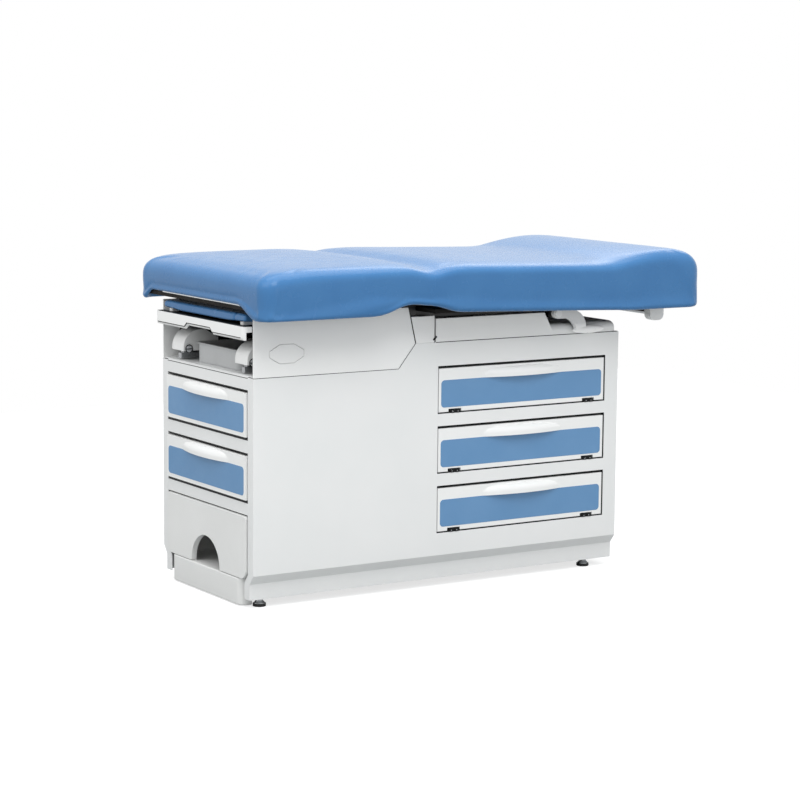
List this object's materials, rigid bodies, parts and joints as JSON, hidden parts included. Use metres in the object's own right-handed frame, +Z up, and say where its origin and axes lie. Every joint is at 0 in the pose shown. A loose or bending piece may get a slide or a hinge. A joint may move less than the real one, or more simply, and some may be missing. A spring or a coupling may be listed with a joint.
{
  "type": "gynecological examination table",
  "caption": "Examination table on a drawer cabinet: one-piece upholstered top with a tilting back, side and foot drawers, sliding step, leg rest, pan and stirrups.",
  "frame": {"origin": "on the floor, under the middle of the upholstered top", "axes": "+X from the foot end to the head end, +Y to the far side, +Z up"},
  "size_m": [1.336, 0.684, 0.848],
  "materials": {
    "cabinet_paint": "pale grey-white powder coat, fine texture",
    "white_plastic": "white moulded plastic, satin",
    "blue_vinyl": "blue vinyl-coated fabric over foam, fine leather grain",
    "blue_plastic": "blue drawer insert, satin",
    "black_plastic": "black moulded plastic",
    "grey_plastic": "grey moulded plastic",
    "plated_steel": "zinc-plated sheet and bar",
    "bright_steel": "ground and chromed rod",
    "black_paint": "black enamelled steel",
    "board": "white-faced plywood board",
    "tread_rubber": "ribbed black rubber",
    "foot_rubber": "black rubber foot on a steel stud"
  },
  "bodies": {
    "cabinet": {"side_panel_near": "cabinet_paint", "side_panel_far": "cabinet_paint", "foot_frame": "cabinet_paint", "head_panel": "cabinet_paint", "partition": "cabinet_paint", "base_pan": "cabinet_paint", "deck_plate": "cabinet_paint", "side_cover_near": "white_plastic", "side_cover_far": "white_plastic", "cover_plugs": "white_plastic", "pivot_covers": "white_plastic", "top_shroud": "white_plastic", "seat_plate_near": "black_paint", "seat_plate_far": "black_paint", "seat_board": "board", "seat_cushion": "blue_vinyl", "flex_pad": "blue_vinyl", "drawer_glides": "black_plastic", "foot_rails": "plated_steel", "legrest_guides": "plated_steel", "stirrup_guides": "plated_steel"},
    "back": {"back_board": "board", "back_frame": "black_paint", "back_cushion": "blue_vinyl", "paper_brackets": "white_plastic"},
    "paper_bar": {"paper_bar": "bright_steel"},
    "release": {"release_shaft": "plated_steel", "release_levers": "white_plastic"},
    "gas_cylinder": {"gas_cylinder": "black_paint"},
    "gas_rod": {"gas_rod": "bright_steel"},
    "step": {"step_shell": "white_plastic", "step_base": "white_plastic", "step_tread": "tread_rubber"},
    "legrest": {"legrest_front": "white_plastic", "legrest_board": "board", "legrest_pad": "blue_vinyl"},
    "stirrup_near": {"stirrup_near_bar": "plated_steel"},
    "stirrup_far": {"stirrup_far_bar": "plated_steel"},
    "cup_near": {"stirrup_near_cup": "white_plastic"},
    "cup_far": {"stirrup_far_cup": "white_plastic"},
    "pan": {"pan": "grey_plastic"},
    "side_drawer_1": {"side_drawer_1_tray": "cabinet_paint", "side_drawer_1_fronts": "white_plastic", "side_drawer_1_inserts": "blue_plastic"},
    "side_drawer_2": {"side_drawer_2_tray": "cabinet_paint", "side_drawer_2_fronts": "white_plastic", "side_drawer_2_inserts": "blue_plastic"},
    "side_drawer_3": {"side_drawer_3_tray": "cabinet_paint", "side_drawer_3_fronts": "white_plastic", "side_drawer_3_inserts": "blue_plastic"},
    "foot_drawer_1": {"foot_drawer_1_tray": "cabinet_paint", "foot_drawer_1_front": "white_plastic", "foot_drawer_1_insert": "blue_plastic"},
    "foot_drawer_2": {"foot_drawer_2_tray": "cabinet_paint", "foot_drawer_2_front": "white_plastic", "foot_drawer_2_insert": "blue_plastic"},
    "levelling_foot_1": {"levelling_foot_1": "foot_rubber"},
    "levelling_foot_2": {"levelling_foot_2": "foot_rubber"},
    "levelling_foot_3": {"levelling_foot_3": "foot_rubber"},
    "levelling_foot_4": {"levelling_foot_4": "foot_rubber"}
  },
  "joints": [
    {"name": "back_tilt", "type": "hinge", "parent": "cabinet", "child": "back", "pos_m": [-0.182, 0, 0.722], "axis": [0, -1, 0], "range_deg": [0, 75], "deforming": ["flex_pad"]},
    {"name": "gas_cylinder_swing", "type": "hinge", "parent": "cabinet", "child": "gas_cylinder", "pos_m": [-0.06, 0, 0.605], "axis": [0, -1, 0], "range_deg": [0, 71]},
    {"name": "gas_rod_stroke", "type": "slide", "parent": "gas_cylinder", "child": "gas_rod", "axis": [0.9455, 0, 0.3257], "range_m": [0, 0.206]},
    {"name": "release_lift", "type": "hinge", "parent": "back", "child": "release", "pos_m": [0.25, 0, 0.69], "axis": [0, -1, 0], "range_deg": [0, 10], "stiffness_Nm_per_rad": 6},
    {"name": "paper_bar_spin", "type": "hinge", "parent": "back", "child": "paper_bar", "pos_m": [0.6, 0, 0.672], "axis": [0, 1, 0], "continuous": true},
    {"name": "step_pull", "type": "slide", "parent": "cabinet", "child": "step", "axis": [-1, 0, 0], "range_m": [0, 0.3]},
    {"name": "legrest_pull", "type": "slide", "parent": "cabinet", "child": "legrest", "axis": [-1, 0, 0], "range_m": [0, 0.32]},
    {"name": "pan_pull", "type": "slide", "parent": "cabinet", "child": "pan", "axis": [-1, 0, 0], "range_m": [0, 0.22]},
    {"name": "side_drawer_1_pull", "type": "slide", "parent": "cabinet", "child": "side_drawer_1", "axis": [0, 1, 0], "range_m": [-0.28, 0.28]},
    {"name": "side_drawer_2_pull", "type": "slide", "parent": "cabinet", "child": "side_drawer_2", "axis": [0, 1, 0], "range_m": [-0.28, 0.28]},
    {"name": "side_drawer_3_pull", "type": "slide", "parent": "cabinet", "child": "side_drawer_3", "axis": [0, 1, 0], "range_m": [-0.28, 0.28]},
    {"name": "foot_drawer_1_pull", "type": "slide", "parent": "cabinet", "child": "foot_drawer_1", "axis": [-1, 0, 0], "range_m": [0, 0.34]},
    {"name": "foot_drawer_2_pull", "type": "slide", "parent": "cabinet", "child": "foot_drawer_2", "axis": [-1, 0, 0], "range_m": [0, 0.34]},
    {"name": "stirrup_near_pull", "type": "slide", "parent": "cabinet", "child": "stirrup_near", "axis": [-1, 0, 0], "range_m": [0, 0.3]},
    {"name": "cup_near_tilt", "type": "hinge", "parent": "stirrup_near", "child": "cup_near", "pos_m": [-0.62, -0.169, 0.605], "axis": [0, -1, 0], "range_deg": [0, 20]},
    {"name": "stirrup_far_pull", "type": "slide", "parent": "cabinet", "child": "stirrup_far", "axis": [-1, 0, 0], "range_m": [0, 0.3]},
    {"name": "cup_far_tilt", "type": "hinge", "parent": "stirrup_far", "child": "cup_far", "pos_m": [-0.62, 0.169, 0.605], "axis": [0, -1, 0], "range_deg": [0, 20]},
    {"name": "levelling_foot_1_turn", "type": "hinge", "parent": "cabinet", "child": "levelling_foot_1", "pos_m": [-0.598, -0.196, 0], "axis": [0, 0, 1], "continuous": true},
    {"name": "levelling_foot_2_turn", "type": "hinge", "parent": "cabinet", "child": "levelling_foot_2", "pos_m": [-0.598, 0.196, 0], "axis": [0, 0, 1], "continuous": true},
    {"name": "levelling_foot_3_turn", "type": "hinge", "parent": "cabinet", "child": "levelling_foot_3", "pos_m": [0.389, -0.196, 0], "axis": [0, 0, 1], "continuous": true},
    {"name": "levelling_foot_4_turn", "type": "hinge", "parent": "cabinet", "child": "levelling_foot_4", "pos_m": [0.389, 0.196, 0], "axis": [0, 0, 1], "continuous": true}
  ],
  "couplings": [
    {"joint": "gas_cylinder_swing", "follows": "back_tilt", "ratio": 0.94247},
    {"joint": "gas_rod_stroke", "follows": "back_tilt", "m_per_rad": 0.15575}
  ]
}
